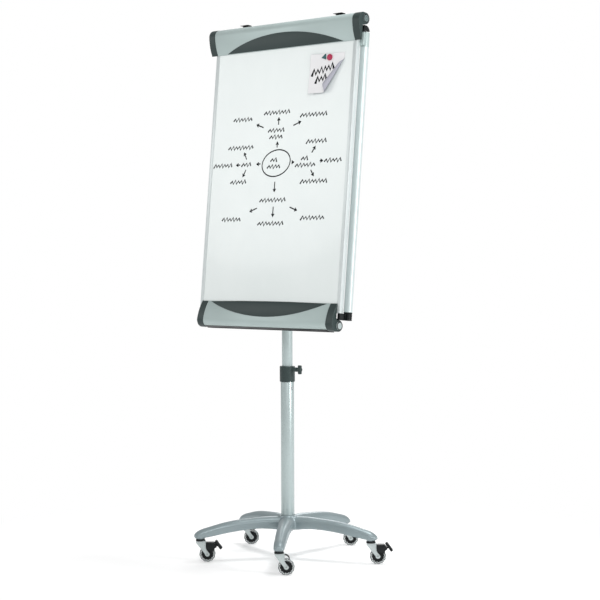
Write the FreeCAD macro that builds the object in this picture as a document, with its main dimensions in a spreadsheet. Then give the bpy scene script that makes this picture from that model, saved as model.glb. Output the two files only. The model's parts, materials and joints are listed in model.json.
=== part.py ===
import FreeCAD, Part
import math
import os
import re

import Sketcher
from FreeCAD import Placement, Rotation, Vector

# A mobile flipchart easel: a five-legged base on casters, a telescopic mast and a leaning
# whiteboard with a paper clamp above, a pen tray below and a swing-out display arm at each side.
#
# World frame: X to the right of the board, Y towards its back, Z up; the origin is the mast's
# axis at floor level. Board pieces are drawn in the board's own frame: X as above, Y from the
# writing face towards the back, Z up along the board.

SIZES = {
    # mast
    "mast_r": 25, "mast_wall": 1.5, "mast_foot": 133, "mast_top": 700,
    "inner_r": 20, "inner_wall": 1.8, "inner_foot": 430, "inner_top": 1448,
    "slide_gap": 0.3, "bush_height": 40, "foot_plate": 30, "foot_bolt_r": 5,
    "collar_r": 28.7, "collar_foot": 667, "collar_top": 727, "collar_round": 3.5,
    "stud_z": 715, "stud_r": 4, "stud_boss_r": 8.3, "stud_boss_end": 52,
    "wing_from": 55, "wing_to": 70, "wing_height": 34, "wing_waist": 15, "wing_thick": 10,
    "guide_screw_z": 644.7, "guide_screw_r": 6.5, "guide_screw_rise": 4.5,
    # base
    "leg_angle": 18, "hub_r": 35, "hub_foot": 112, "hub_top": 163,
    "caster_radius": 335, "crown": 0.3,
    # casters: "t" is measured back from the swivel axis along the trail
    "trail_angle": 41, "trail": 26, "wheel_r": 30, "core_r": 27, "wheel_width": 18,
    "axle_r": 4, "axle_hub_r": 9, "hub_core_r": 8, "core_web": 8, "tread_round": 2.5,
    "fit": 0.05, "fork_inner": 21, "fork_outer": 25, "fork_top": 78, "fork_front": 16,
    "fork_back": 20, "fork_plate": 4, "stem_r": 5.5, "stem_top": 108, "rivet_r": 8,
    "ring_r": 17.5, "ring_foot": 78.3, "ring_top": 84, "boss_r": 16.5, "boss_top": 92,
    # brakes
    "hood_width": 27, "hood_end": 50, "hood_gap": 2.6, "pedal_t": 57, "pedal_z": 57.5,
    "pedal_pin_r": 2, "pedal_neck": 10, "pedal_width": 26, "pedal_slope": 53,
    "pedal_head": 17, "pedal_tail": 20, "pedal_off": 7, "pedal_thick": 10,
    # board
    "board_lean": 5.88, "board_y": -90.35, "board_z": 1135.32,
    "board_width": 700, "board_foot": -200, "board_top": 840,
    "sheet": 0.4, "panel": 17, "profile_wall": 1.5, "profile_lip": 15.5,
    # clamp above the board and tray below it, both turning on end pins
    "pivot_depth": 13, "header_s": 868.5, "tray_s": -245, "flap_reach": 80, "face_turn": 7,
    "nose_d": 12.5, "nose_u": 6.5, "nose_r": 27, "face_more": 151.4, "flap_wall": 2.5, "flap_lip": 7,
    "cap_proud": 0.8, "cap_wall": 3, "cap_gap": 1.95, "pin_r": 5, "pin_head_r": 15.5,
    "header_ear": 315, "tray_ear": 296, "header_half": 343, "header_cap": 31.5, "header_pin_head": 2.2,
    "tray_half": 306, "tray_cap": 32, "tray_pin_head": 4.6,
    "crescent_half": 290, "crescent_rise": 55, "crescent_u": 78, "tray_brow": 4.5,
    "rail_depth": 17.6, "rail_height": 36, "ear_r": 11, "ear_wall": 6,
    "liner_wall": 3, "liner_back": 15, "liner_edge": 4.5,
    # flipchart hooks
    "hook_x": 234, "hook_width": 43, "hook_gap": 0.4, "hook_wall": 3.5, "hook_top": 905.7,
    "hook_foot": 814, "tab_front": 17, "tab_thick": 2.4, "peg_r": 4, "peg_s": 835, "peg_length": 8,
    # display arms
    "arm_x": 354.5, "arm_width": 30, "arm_depth": 24, "arm_front": 28, "arm_wall": 1.5,
    "arm_round": 9, "arm_top": 825, "arm_joint": 770, "arm_pivot": 797, "arm_foot": -194,
    "arm_end": -224, "arm_pin_r": 4, "arm_head_r": 8, "catch_height": 24, "wedge_round": 24,
    # tilt head
    "tilt_z": 1474, "tilt_pin_r": 5, "eye_r": 14, "eye_width": 30, "eye_gap": 0.3,
    "bracket_wall": 3, "bracket_width": 120, "bracket_height": 125, "bracket_screw_r": 5, "knob_r": 17,
    "knob_width": 18,
}

doc = FreeCAD.newDocument("flipchart_easel")
sheet = doc.addObject("Spreadsheet::Sheet", "size")
for row, (alias, number) in enumerate(SIZES.items(), 1):
    sheet.set(f"A{row}", alias)
    sheet.set(f"B{row}", str(number))
    sheet.setAlias(f"B{row}", alias)
doc.recompute()

ALIAS = re.compile(r"\b(" + "|".join(SIZES) + r")\b")
X_AXIS, Y_AXIS, Z_AXIS = Vector(1, 0, 0), Vector(0, 1, 0), Vector(0, 0, 1)
nodes = []


def full(expression):
    """Write each size's name in an expression as a reference to its spreadsheet cell."""
    return ALIAS.sub(r"size.\1", str(expression))


def value(expression):
    """Work out an expression of sizes, as a number."""
    result = sheet.evalExpression(full(expression))
    return float(getattr(result, "Value", result))


def bind(thing, **sizes):
    for name, expression in sizes.items():
        thing.setExpression(name, full(expression))
    return thing


def node(thing, name, place=Placement()):
    """Name a finished sub-part, put it in place and list it for export."""
    thing.Label = name
    thing.Placement = place * thing.Placement
    nodes.append(thing)
    return thing


# ---- sketches and features -------------------------------------------------------------------

def new_body(name="body"):
    return doc.addObject("PartDesign::Body", name)


def origin_plane(body, role):
    return next(f for f in body.Origin.OriginFeatures if f.Role == role)


def arc_between(start, end, radius):
    """An arc of less than half a turn; it turns left for a positive radius."""
    middle = (start + end) * 0.5
    chord = end - start
    reach = math.sqrt(max(radius ** 2 - (chord.Length / 2) ** 2, 0))
    left = Vector(-chord.y, chord.x, 0).normalize()
    centre = middle + left * math.copysign(reach, radius)
    first, last = (start, end) if radius > 0 else (end, start)
    angles = [math.atan2(p.y - centre.y, p.x - centre.x) for p in (first, last)]
    circle = Part.Circle(centre, Z_AXIS, abs(radius))
    return Part.ArcOfCircle(circle, *angles)


def fix_point(sketch, geometry, position, x, y):
    """Hold one point of a sketch at x, y from the origin, each an expression of sizes."""
    for kind, expression in (("DistanceX", x), ("DistanceY", y)):
        number = value(expression)
        if abs(number) < 1e-9:
            axis = -2 if kind == "DistanceX" else -1
            sketch.addConstraint(Sketcher.Constraint("PointOnObject", geometry, position, axis))
            continue
        index = sketch.addConstraint(Sketcher.Constraint(kind, -1, 1, geometry, position, number))
        sketch.setExpression(f"Constraints[{index}]", full(expression))


def add_circle(sketch, x, y, radius):
    centre = Vector(value(x), value(y), 0)
    index = sketch.addGeometry(Part.Circle(centre, Z_AXIS, value(radius)), False)
    fix_point(sketch, index, 3, x, y)
    limit = sketch.addConstraint(Sketcher.Constraint("Radius", index, value(radius)))
    sketch.setExpression(f"Constraints[{limit}]", full(radius))


def add_loop(sketch, points):
    """Add a closed outline. A point is (x, y), or (x, y, radius) where the edge that leaves it
    is an arc, which turns left for a positive radius and right for a negative one."""
    places = [Vector(value(p[0]), value(p[1]), 0) for p in points]
    edges = []
    for i, point in enumerate(points):
        start, end = places[i], places[(i + 1) % len(points)]
        if len(point) == 2:
            edges.append((sketch.addGeometry(Part.LineSegment(start, end), False), 1, 2))
            continue
        radius = value(point[2])
        index = sketch.addGeometry(arc_between(start, end, radius), False)
        edges.append((index, 1, 2) if radius > 0 else (index, 2, 1))
    for i, (index, start, end) in enumerate(edges):
        after, begins, _ = edges[(i + 1) % len(edges)]
        sketch.addConstraint(Sketcher.Constraint("Coincident", index, end, after, begins))
        fix_point(sketch, index, start, points[i][0], points[i][1])
        if len(points[i]) == 3:
            radius = points[i][2]
            limit = sketch.addConstraint(Sketcher.Constraint("Radius", index, abs(value(radius))))
            sketch.setExpression(f"Constraints[{limit}]", full(f"abs({radius})"))


def draw(body, role, *shapes, offset=None):
    """Sketch outlines, and circles as ("circle", x, y, radius), on one of a body's planes."""
    sketch = body.newObject("Sketcher::SketchObject", "outline")
    sketch.AttachmentSupport = [(origin_plane(body, role), "")]
    sketch.MapMode = "FlatFace"
    if offset is not None:
        sketch.AttachmentOffset = Placement(Vector(0, 0, value(offset)), Rotation())
        sketch.setExpression("AttachmentOffset.Base.z", full(offset))
    for shape in shapes:
        if shape[0] == "circle":
            add_circle(sketch, *shape[1:])
        else:
            add_loop(sketch, shape)
    return sketch


def pad(body, sketch, length, symmetric=False, reverse=False):
    feature = body.newObject("PartDesign::Pad", "pad")
    feature.Profile = sketch
    bind(feature, Length=length)
    feature.SideType = "Symmetric" if symmetric else "One side"
    feature.Reversed = reverse
    return feature


def pocket(body, sketch, length, symmetric=False, reverse=False):
    """Cut an outline out of the body, and make sure that it took some of it away."""
    doc.recompute()
    before = body.Shape.Volume
    feature = body.newObject("PartDesign::Pocket", "pocket")
    feature.Profile = sketch
    bind(feature, Length=length)
    feature.SideType = "Symmetric" if symmetric else "One side"
    feature.Reversed = reverse
    doc.recompute()
    if body.Shape.Volume > before - 1e-3:
        raise ValueError(f"a pocket in {body.Label} cuts nothing")
    return feature


def turn(body, sketch, axis="V_Axis"):
    feature = body.newObject("PartDesign::Revolution", "revolution")
    feature.Profile = sketch
    feature.ReferenceAxis = (sketch, [axis])
    feature.Angle = 360
    return feature


def soften(body, radius, wanted):
    """Fillet the edges that the test picks."""
    doc.recompute()
    base = body.Tip
    names = [f"Edge{i}" for i, edge in enumerate(body.Shape.Edges, 1) if wanted(edge)]
    feature = body.newObject("PartDesign::Fillet", "fillet")
    feature.Base = (base, names)
    bind(feature, Radius=radius)
    return feature


def turned(points, role="XZ_Plane", axis="V_Axis"):
    """A body of revolution about Z, from an outline of (radius, height)."""
    body = new_body()
    turn(body, draw(body, role, points), axis)
    return body


def ring(inner, outer, low, high):
    """A tube or washer about Z."""
    return turned([(inner, low), (outer, low), (outer, high), (inner, high)])


def prism(role, points, length, offset=None, symmetric=False):
    body = new_body()
    pad(body, draw(body, role, points, offset=offset), length, symmetric)
    return body


def box(x_low, x_high, y_low, y_high, z_low, z_high):
    """A block between two corners, each coordinate an expression of sizes."""
    block = doc.addObject("Part::Box", "block")
    for name, low, high in (("Length", x_low, x_high), ("Width", y_low, y_high),
                            ("Height", z_low, z_high)):
        block.setExpression(name, full(f"({high}) - ({low})"))
    block.Placement = at(x_low, y_low, z_low)
    return block


def group(things):
    """Separate solids that share one node."""
    compound = doc.addObject("Part::Compound", "set")
    compound.Links = things
    return compound


def common(base, tool):
    overlap = doc.addObject("Part::Common", "overlap")
    overlap.Base, overlap.Tool = base, tool
    return overlap


def at(x, y, z, axis=Z_AXIS, angle=0):
    """Placement at a point, each coordinate an expression of sizes."""
    return Placement(Vector(value(x), value(y), value(z)), Rotation(axis, angle))


ON_BOARD = at(0, "board_y", "board_z", X_AXIS, -value("board_lean"))
SIDES = (("left", -1), ("right", 1))


# ---- base ------------------------------------------------------------------------------------

# distance from the mast, width, underside and top of a leg
LEG_SECTIONS = ((20, 58, 112, 162), (70, 56, 115, 160), (127, 50, 117, 157), (188, 46, 112, 152),
                (250, 43, 103, 142), (306, 41, 93, 128), (340, 39, 90, 117), (358, 30, 90, 103))


def leg_section(body, distance, width, low, high):
    """A flat underside, upright sides and a crowned top."""
    shoulder = f"{high} - crown*{width}"
    crown_radius = f"{width}*(0.25 + crown^2)/(2*crown)"
    return draw(body, "YZ_Plane", [(-width / 2, low), (width / 2, low),
                                   (width / 2, shoulder, crown_radius),
                                   (-width / 2, shoulder)], offset=distance)


def star_base():
    body = new_body("star_base")
    sections = [leg_section(body, *section) for section in LEG_SECTIONS]
    leg = body.newObject("PartDesign::AdditiveLoft", "leg")
    leg.Profile = sections[0]
    leg.Sections = sections[1:]
    doc.recompute()
    legs = body.newObject("PartDesign::PolarPattern", "legs")
    legs.Originals = [leg]
    legs.Axis = (next(f for f in body.Origin.OriginFeatures if f.Role == "Z_Axis"), [""])
    legs.Angle = 360
    legs.Occurrences = 5
    body.Tip = legs
    doc.recompute()
    turn(body, draw(body, "XZ_Plane", [(0, "hub_foot"), ("hub_r", "hub_foot"),
                                       ("hub_r", "hub_top"), (0, "hub_top")]))
    pocket(body, draw(body, "XY_Plane", ("circle", 0, 0, "mast_r"), offset="mast_foot"),
           "hub_top", reverse=True)
    pocket(body, draw(body, "XY_Plane", ("circle", 0, 0, "foot_bolt_r")), "hub_top", reverse=True)
    ends = [(f"caster_radius*cos({72 * k})", f"caster_radius*sin({72 * k})") for k in range(5)]
    for x, y in ends:
        pad(body, draw(body, "XY_Plane", ("circle", x, y, "boss_r"), offset="ring_top + 0.2"),
            "boss_top - ring_top")
        pocket(body, draw(body, "XY_Plane", ("circle", x, y, "stem_r")), "stem_top", reverse=True)
    return node(body, "star_base", at(0, 0, 0, Z_AXIS, value("leg_angle")))


def foot_bolt():
    node(turned([(0, "hub_foot - 8"), (9, "hub_foot - 8"), (9, "hub_foot"),
                 ("foot_bolt_r", "hub_foot"), ("foot_bolt_r", "mast_foot + foot_plate - 4"),
                 (0, "mast_foot + foot_plate - 4")]), "foot_bolt")


# ---- mast ------------------------------------------------------------------------------------

def lower_mast():
    """The outer tube, with the thick plate in its foot that the base's bolt screws into."""
    body = turned([("foot_bolt_r", "mast_foot"), ("mast_r", "mast_foot"), ("mast_r", "mast_top"),
                   ("mast_r - mast_wall", "mast_top"),
                   ("mast_r - mast_wall", "mast_foot + foot_plate"),
                   ("foot_bolt_r", "mast_foot + foot_plate")])
    node(body, "lower_mast")


def mast_collar():
    """Sits on the outer tube's end, with a sleeve inside it that guides the inner tube; a boss
    at its right holds the clamp knob's stud."""
    bore, sleeve = "inner_r + slide_gap", "mast_r - mast_wall"
    body = turned([("mast_r", "collar_foot"),
                   ("collar_r - collar_round", "collar_foot", "collar_round"),
                   ("collar_r", "collar_foot + collar_round"),
                   ("collar_r", "collar_top - 3", 3), ("collar_r - 3", "collar_top"),
                   (bore, "collar_top"), (bore, "guide_screw_z - 25"),
                   (sleeve, "guide_screw_z - 25"), (sleeve, "mast_top"), ("mast_r", "mast_top")])
    pad(body, draw(body, "YZ_Plane", ("circle", 0, "stud_z", "stud_boss_r"), offset=24),
        "stud_boss_end - 24")
    pocket(body, draw(body, "YZ_Plane", ("circle", 0, "stud_z", "stud_r + fit")),
           "stud_boss_end", reverse=True)
    node(body, "mast_collar")


def dome(radius, rise):
    """A domed screw head, lying on z = 0."""
    curve = f"(({radius})^2 + ({rise})^2)/(2*({rise}))"
    return turned([(0, 0), (radius, 0, curve), (0, rise)])


def guide_screw():
    """A domed screw through the outer tube, which holds the collar's sleeve behind it."""
    node(dome("guide_screw_r", "guide_screw_rise"), "guide_screw",
         at("mast_r", 0, "guide_screw_z", Y_AXIS, 90))


def clamp_knob():
    """A waisted wing on a stud, whose end bears on the inner tube."""
    body = new_body()
    half, waist = "wing_height/2", "wing_waist/2"
    pad(body, draw(body, "YZ_Plane",
                   [("-wing_thick/2", f"stud_z - {half}"), ("wing_thick/2", f"stud_z - {half}"),
                    ("wing_thick/2", f"stud_z + {half}"), ("-wing_thick/2", f"stud_z + {half}")],
                   offset="wing_from"), "wing_to - wing_from")
    soften(body, 3.5, lambda edge: True)
    pad(body, draw(body, "YZ_Plane", ("circle", 0, "stud_z", waist), offset="stud_boss_end + 0.5"),
        "wing_to - stud_boss_end - 1")
    pad(body, draw(body, "YZ_Plane", ("circle", 0, "stud_z", "stud_r"), offset="inner_r + 0.3"),
        "wing_from - inner_r")
    node(body, "clamp_knob")


def inner_mast():
    node(ring("inner_r - inner_wall", "inner_r", "inner_foot", "inner_top"), "upper_mast")
    node(ring("inner_r", "mast_r - mast_wall - slide_gap", "inner_foot",
              "inner_foot + bush_height"), "slide_bush")


# ---- tilt head -------------------------------------------------------------------------------

TILT_Y = "(-board_y)*cos(board_lean) - (tilt_z - board_z)*sin(board_lean)"
TILT_S = "(-board_y)*sin(board_lean) + (tilt_z - board_z)*cos(board_lean)"


def tilt_head():
    """A plug in the inner tube's end, with an eye for the tilt bolt."""
    plug = "inner_r - inner_wall"
    body = turned([(0, "inner_top - 45"), (plug, "inner_top - 45"), (plug, "inner_top"),
                   ("inner_r", "inner_top"), ("inner_r", "inner_top + 4"), (0, "inner_top + 4")])
    quarter = [("eye_r", "inner_top + 3"), ("eye_r", "tilt_z", "eye_r"),
               (0, "tilt_z + eye_r", "eye_r"), ("-eye_r", "tilt_z"), ("-eye_r", "inner_top + 3")]
    pad(body, draw(body, "YZ_Plane", quarter), "eye_width", symmetric=True)
    pocket(body, draw(body, "YZ_Plane", ("circle", 0, "tilt_z", "tilt_pin_r + fit")),
           "eye_width + 2", symmetric=True)
    node(body, "tilt_head")


def back_bracket():
    """A plate on the board's back with two cheeks that straddle the tilt head."""
    low, high = f"{TILT_S} - 0.5*bracket_height", f"{TILT_S} + 0.5*bracket_height"
    body = new_body()
    pad(body, draw(body, "XZ_Plane",
                   [("-bracket_width/2", low), ("bracket_width/2", low),
                    ("bracket_width/2", high), ("-bracket_width/2", high)], offset="-panel"),
        "bracket_wall", reverse=True)
    root = "panel + bracket_wall"
    cheek = [(root, f"{TILT_S} - 25"), (TILT_Y, f"{TILT_S} - eye_r", "eye_r"),
             (f"{TILT_Y} + eye_r", TILT_S, "eye_r"), (TILT_Y, f"{TILT_S} + eye_r"),
             (root, f"{TILT_S} + 25")]
    for start in ("eye_width/2 + eye_gap", "-eye_width/2 - eye_gap - bracket_wall"):
        pad(body, draw(body, "YZ_Plane", cheek, ("circle", TILT_Y, TILT_S, "tilt_pin_r"),
                       offset=start), "bracket_wall")
    node(body, "back_bracket", ON_BOARD)
    screws = []
    for x in (-45, 45):
        for step in (-50, 50):
            screw = dome("bracket_screw_r", "bracket_screw_r/2")
            screw.Placement = at(x, root, f"{TILT_S} + {step}", X_AXIS, -90)
            screws.append(screw)
    node(group(screws), "bracket_screws", ON_BOARD)


def tilt_fasteners():
    """The bolt through the cheeks and the knob that locks the board's lean."""
    far = "eye_width/2 + eye_gap + bracket_wall"
    bolt = turned([(0, f"-({far}) - 5"), (8.5, f"-({far}) - 5"), (8.5, f"-({far})"),
                   ("tilt_pin_r", f"-({far})"), ("tilt_pin_r", f"{far} + 10"), (0, f"{far} + 10")])
    pivot = at(0, TILT_Y, TILT_S, Y_AXIS, 90)
    node(bolt, "tilt_bolt", ON_BOARD * pivot)
    knob = new_body()
    start = f"{far} + 0.4"
    pad(knob, draw(knob, "XY_Plane", ("circle", 0, 0, "knob_r"),
                   ("circle", 0, 0, "tilt_pin_r + fit"), offset=start), "knob_width")
    for k in range(6):
        notch = ("circle", f"(knob_r + 4)*cos({60 * k})", f"(knob_r + 4)*sin({60 * k})", 8)
        pocket(knob, draw(knob, "XY_Plane", notch, offset=start), "knob_width", reverse=True)
    node(knob, "tilt_knob", ON_BOARD * pivot)


# ---- board -----------------------------------------------------------------------------------

def board_panel():
    half = "board_width/2 - profile_wall - 0.05"
    layers = (("writing_face", "0", "sheet"), ("board_core", "sheet", "panel - sheet"),
              ("back_sheet", "panel - sheet", "panel"))
    for name, front, back in layers:
        node(box(f"-({half})", half, front, back, "board_foot + 1", "board_top - 1"), name, ON_BOARD)


def side_profiles():
    """Channels that wrap the panel's long edges."""
    for name, side in SIDES:
        edge, web, lip = (f"{side}*({x})" for x in (
            "board_width/2", "board_width/2 - profile_wall", "board_width/2 - profile_lip"))
        points = [(edge, "-profile_wall"), (edge, "panel + profile_wall"),
                  (lip, "panel + profile_wall"), (lip, "panel"), (web, "panel"), (web, 0),
                  (lip, 0), (lip, "-profile_wall")]
        node(prism("XY_Plane", points, "board_top - board_foot", offset="board_foot"),
             f"{name}_profile", ON_BOARD)


# ---- clamp and tray, the same section one way up and the other --------------------------------

class Flap:
    """Where the clamp or the tray lies: its pins' height, and which way its lip points."""

    def __init__(self, pivot, lip_sign):
        self.pivot = pivot
        self.sign = lip_sign

    def point(self, forward, lipwards, radius=None):
        """A point by its distance in front of the pins and from them towards the lip."""
        place = (f"pivot_depth - ({forward})", f"{self.pivot} + {self.sign}*({lipwards})")
        return place if radius is None else place + (f"{self.sign}*({radius})",)

    def face_at(self, radius, lipwards):
        """How far forward the crowned face is, for a nose of a given radius."""
        level = f"({lipwards} - nose_u + face_more*sin(face_turn))"
        return f"nose_d - face_more*cos(face_turn) + sqrt(({radius} + face_more)^2 - {level}^2)"

    def nose(self, radius, lip, outwards):
        """The face from the lip over the nose to above the pins, or that way back."""
        lip_place = (self.face_at(radius, lip), lip)
        swell = (f"nose_d + ({radius})*cos(face_turn)", f"nose_u + ({radius})*sin(face_turn)")
        crest = ("nose_d", f"nose_u - ({radius})")
        end = self.point(0, f"nose_u - ({radius})")
        face = f"({radius} + face_more)"
        if outwards:
            return [self.point(*lip_place, radius=face), self.point(*swell, radius=radius),
                    self.point(*crest), end]
        return [end, self.point(*crest, radius=f"-({radius})"),
                self.point(*swell, radius=f"-{face}"), self.point(*lip_place)]


HEADER = Flap("header_s", -1)
TRAY = Flap("tray_s", 1)


def shell(flap, half, outer, inner, reach="flap_reach", lip="0"):
    points = flap.nose(outer, reach, True) + flap.nose(inner, f"{reach} - {lip}", False)
    return prism("YZ_Plane", points, f"2*{half}", symmetric=True)


def flap_cover(flap, half, name):
    cover = shell(flap, half, "nose_r", "nose_r - flap_wall", lip="flap_lip")
    node(cover, name, ON_BOARD)


def crescent(flap, name):
    """A dark lens-shaped inlay on the cover: bowed away from the lip, and on the tray it also
    rises a little past the lip."""
    band = shell(flap, "crescent_half", "nose_r + cap_proud", "nose_r", "flap_reach + 5")
    level = f"{flap.pivot} + {flap.sign}*crescent_u"
    crest = f"{flap.pivot} + {flap.sign}*(crescent_u - crescent_rise)"
    bow = "(crescent_half^2 + crescent_rise^2)/(2*crescent_rise)"
    left, right, middle = ("-crescent_half", level), ("crescent_half", level), (0, crest)
    if flap.sign > 0:
        brow = "(crescent_half^2 + tray_brow^2)/(2*tray_brow)"
        top = (0, f"{level} + tray_brow", brow)
        lens = [left + (bow,), middle + (bow,), right + (brow,), top]
    else:
        lens = [left, right + (bow,), middle + (bow,)]
    node(common(band, prism("XZ_Plane", lens, "60")), name, ON_BOARD)


def cap_outline(flap, inset, lip):
    """The end cap's face: the cover's curve, and a round boss about the pins."""
    radius = f"nose_r + cap_proud - {inset}"
    boss = f"({radius}) - nose_u"
    hook = f"pivot_depth + cap_gap + {inset}"
    face = flap.nose(radius, lip, True)
    top = face.pop()
    return face + [top + (f"{flap.sign}*({boss})",),
                   flap.point(f"-({boss})", 0, radius=boss),
                   flap.point(0, boss), flap.point(hook, f"{boss} + 5"),
                   flap.point(hook, lip)]


def end_caps(flap, half, length, prefix):
    """Moulded ends, hollow from inside, that turn on the pins."""
    for name, side in SIDES:
        body = new_body()
        start = half if side > 0 else f"-{half} - {length}"
        pad(body, draw(body, "YZ_Plane", cap_outline(flap, "0", "flap_reach + cap_proud"),
                       offset=start), length)
        inner = f"{side}*{half}"
        hollow = cap_outline(flap, "cap_wall", "flap_reach - flap_lip - 11")
        pocket(body, draw(body, "YZ_Plane", hollow, offset=inner), f"{length} - cap_wall",
               reverse=side > 0)
        bore = ("circle", "pivot_depth", flap.pivot, "pin_r + fit")
        pocket(body, draw(body, "YZ_Plane", bore, offset=inner), length, reverse=side > 0)
        node(body, f"{name}_{prefix}_cap", ON_BOARD)


def pins(flap, half, length, head, ear):
    """Headed pins that join the caps to the ears of the rail."""
    things = []
    for _, side in SIDES:
        face = f"{half} + {length} + 0.3"
        pin = turned([(0, ear), ("pin_r", ear), ("pin_r", face), ("pin_head_r", face),
                      ("pin_head_r", f"{face} + {head}"), (0, f"{face} + {head}")])
        pin.Placement = at(0, "pivot_depth", flap.pivot, Y_AXIS, 90 * side)
        things.append(pin)
    return things


def rail(flap, edge, ear, name):
    """A rail behind the board's edge, with an ear at each end that holds a pin."""
    towards = -flap.sign
    body = new_body()
    far = f"{edge} - {towards}*rail_height"
    section = [("panel", far), ("panel + rail_depth", far), ("panel + rail_depth", edge),
               ("panel", edge)]
    if towards < 0:
        section.reverse()
    pad(body, draw(body, "YZ_Plane", section), f"2*({ear} + ear_wall)", symmetric=True)
    pivot = flap.pivot
    turn_sign = f"{towards}"
    plate = [("panel", f"{edge} - {towards}*8"), ("panel + rail_depth", f"{edge} - {towards}*8"),
             ("pivot_depth + ear_r", pivot, f"{turn_sign}*ear_r"),
             ("pivot_depth", f"{pivot} + {towards}*ear_r", f"{turn_sign}*ear_r"),
             ("pivot_depth - ear_r", pivot), ("pivot_depth - ear_r", f"{pivot} - {towards}*ear_r"),
             ("panel", f"{edge} + {towards}*5")]
    hole = ("circle", "pivot_depth", pivot, "pin_r")
    for start in (ear, f"-{ear} - ear_wall"):
        pad(body, draw(body, "YZ_Plane", plate, hole, offset=start), "ear_wall")
    node(body, name, ON_BOARD)


def tray_liner():
    """The strip that closes the tray's underside, and its turned-up edge below the nose."""
    top, low = "nose_u - nose_r", "nose_u - nose_r - liner_wall"
    back, front = "-liner_back", "nose_d - 1"
    points = [TRAY.point(front, low), TRAY.point(front, top), TRAY.point(f"{back} + liner_wall", top),
              TRAY.point(f"{back} + liner_wall", "-9"), TRAY.point(back, "-9"),
              TRAY.point(back, low)]
    half = "(tray_half - 0.2)"
    strip = prism("YZ_Plane", points, f"2*{half}", symmetric=True)
    band = shell(TRAY, half, "nose_r + cap_proud", "nose_r")
    edge = box(f"-{half}", half, "-60", f"pivot_depth - {front} - 0.1",
               f"tray_s + {low}", f"tray_s + {top} + liner_edge")
    node(group([strip, common(band, edge)]), "tray_liner", ON_BOARD)


# ---- flipchart hooks and display arms ---------------------------------------------------------

def hooks():
    """Saddles that slide along the top rail, each with a peg in front, and a tab that rises
    behind and bends forward over the clamp."""
    front = "-profile_wall - hook_gap"
    behind = "panel + rail_depth + hook_gap"
    over = "board_top + hook_gap"
    for name, side in SIDES:
        points = [(f"{front} - 2.5", "hook_foot"), (front, "hook_foot"), (front, over),
                  (behind, over), (behind, "board_top - 20"),
                  (f"{behind} + hook_wall", "board_top - 20"),
                  (f"{behind} + hook_wall", "hook_top"), ("tab_front", "hook_top"),
                  ("tab_front", "hook_top - tab_thick"), (behind, "hook_top - tab_thick"),
                  (behind, f"{over} + hook_wall"), (f"{front} - 2.5", f"{over} + hook_wall")]
        body = new_body()
        centre = f"{side}*hook_x"
        pad(body, draw(body, "YZ_Plane", points, offset=f"{centre} - hook_width/2"), "hook_width")
        pad(body, draw(body, "XZ_Plane", ("circle", centre, "peg_s", "peg_r"),
                       offset=f"-({front})"), "peg_length + 2.5")
        node(body, f"{name}_hook", ON_BOARD)


def rounded(x, depth, width, thick, corner):
    """A rounded rectangle about x and the middle of a depth, anticlockwise."""
    left, right = f"{x} - {width}/2", f"{x} + {width}/2"
    front, back = f"{depth} - {thick}/2", f"{depth} + {thick}/2"
    return [(f"{left} + {corner}", front), (f"{right} - {corner}", front, corner),
            (right, f"{front} + {corner}"), (right, f"{back} - {corner}", corner),
            (f"{right} - {corner}", back), (f"{left} + {corner}", back, corner),
            (left, f"{back} - {corner}"), (left, f"{front} + {corner}", corner)]


def display_arms():
    """A tube each side, turning on a pin at its top, and capped at its foot."""
    for name, side in SIDES:
        x, depth = f"{side}*arm_x", "(arm_front + arm_depth/2)"
        outer = rounded(x, depth, "arm_width", "arm_depth", "arm_round")
        inner = rounded(x, depth, "(arm_width - 2*arm_wall)", "(arm_depth - 2*arm_wall)",
                        "(arm_round - arm_wall)")
        tube = new_body()
        pad(tube, draw(tube, "XY_Plane", outer, inner, offset="arm_foot"), "arm_joint - arm_foot")
        node(tube, f"{name}_arm_tube", ON_BOARD)
        fitting = new_body()
        pad(fitting, draw(fitting, "XY_Plane", outer, offset="arm_joint"), "arm_top - arm_joint")
        soften(fitting, 5, lambda edge: all(abs(v.Z - value("arm_top")) < 1e-3
                                            for v in edge.Vertexes))
        pocket(fitting, draw(fitting, "XZ_Plane", ("circle", x, "arm_pivot", "arm_pin_r + fit")),
               "200")
        node(fitting, f"{name}_arm_fitting", ON_BOARD)
        end = new_body()
        pad(end, draw(end, "XY_Plane", outer, offset="arm_end"), "arm_foot - arm_end")
        for k in range(4):
            rib = [outer, rounded(x, depth, "(arm_width - 1.6)", "(arm_depth - 1.6)",
                                  "(arm_round - 0.8)")]
            pocket(end, draw(end, "XY_Plane", *rib, offset=f"arm_end + 5 + 6*{k}"), "2.5",
                   reverse=True)
        node(end, f"{name}_arm_end", ON_BOARD)


def arm_pivots():
    """Brackets on the board's sides: a plate in front of each arm, and the arm's pin."""
    things = []
    root, face = "panel + profile_wall", "arm_front - 0.5"
    for _, side in SIDES:
        body = new_body()
        inner, outer = f"{side}*(arm_x - 22)", f"{side}*(arm_x + 10)"
        plate = [(inner, "arm_joint + 4"), (outer, "arm_joint + 4"), (outer, "arm_top - 3"),
                 (inner, "arm_top - 3")]
        pad(body, draw(body, "XZ_Plane", plate if side > 0 else plate[::-1],
                       offset=f"-({root})"), f"{face} - ({root})", reverse=True)
        back = "arm_front + arm_depth"
        for radius, low, high in (("arm_pin_r", "arm_front - 1", f"{back} + 1"),
                                  ("arm_head_r", f"{back} + 0.4", f"{back} + 3.4")):
            circle = ("circle", f"{side}*arm_x", "arm_pivot", radius)
            pad(body, draw(body, "XZ_Plane", circle, offset=f"-({low})"), f"{high} - ({low})",
                reverse=True)
        things.append(body)
    node(group(things), "arm_pivots", ON_BOARD)


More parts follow.
